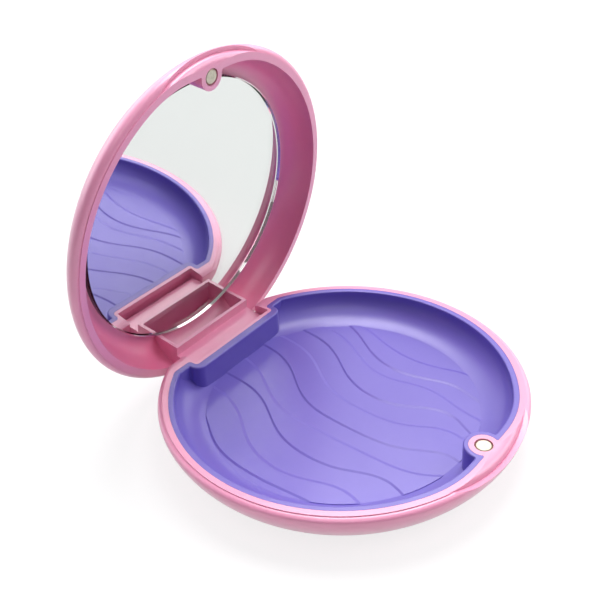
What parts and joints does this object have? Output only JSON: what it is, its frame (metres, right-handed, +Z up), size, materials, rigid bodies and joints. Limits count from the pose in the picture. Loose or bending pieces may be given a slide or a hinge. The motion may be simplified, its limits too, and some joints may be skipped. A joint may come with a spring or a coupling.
{
  "type": "aligner case",
  "caption": "Round hinged case for dental aligners, with a lined tray in the base, a mirror in the lid and magnets that hold it shut.",
  "frame": {"origin": "centre of the flat underside of the base, on the surface that the case stands on", "axes": "+Z up, +Y from the front, where the magnets and thumb scoops are, to the hinge; the hinge's axis lies along X"},
  "size_m": [0.088, 0.0957, 0.0878],
  "materials": {
    "pink_plastic": "satin moulded",
    "purple_plastic": "satin moulded",
    "plated_magnet": "nickel plated",
    "pin_steel": "drawn",
    "mirror_glass": "silvered",
    "adhesive_foam": "matte"
  },
  "bodies": {
    "base": {"base_shell": "pink_plastic", "liner_tray": "purple_plastic", "base_magnet": "plated_magnet", "hinge_pin": "pin_steel"},
    "lid": {"lid_shell": "pink_plastic", "mirror": "mirror_glass", "mirror_adhesive": "adhesive_foam", "lid_magnet": "plated_magnet"}
  },
  "joints": [
    {"name": "lid_hinge", "type": "hinge", "parent": "base", "child": "lid", "pos_m": [0, 0.0374, 0.0068], "axis": [-1, 0, 0], "range_deg": [-82.7, 7.3]}
  ]
}
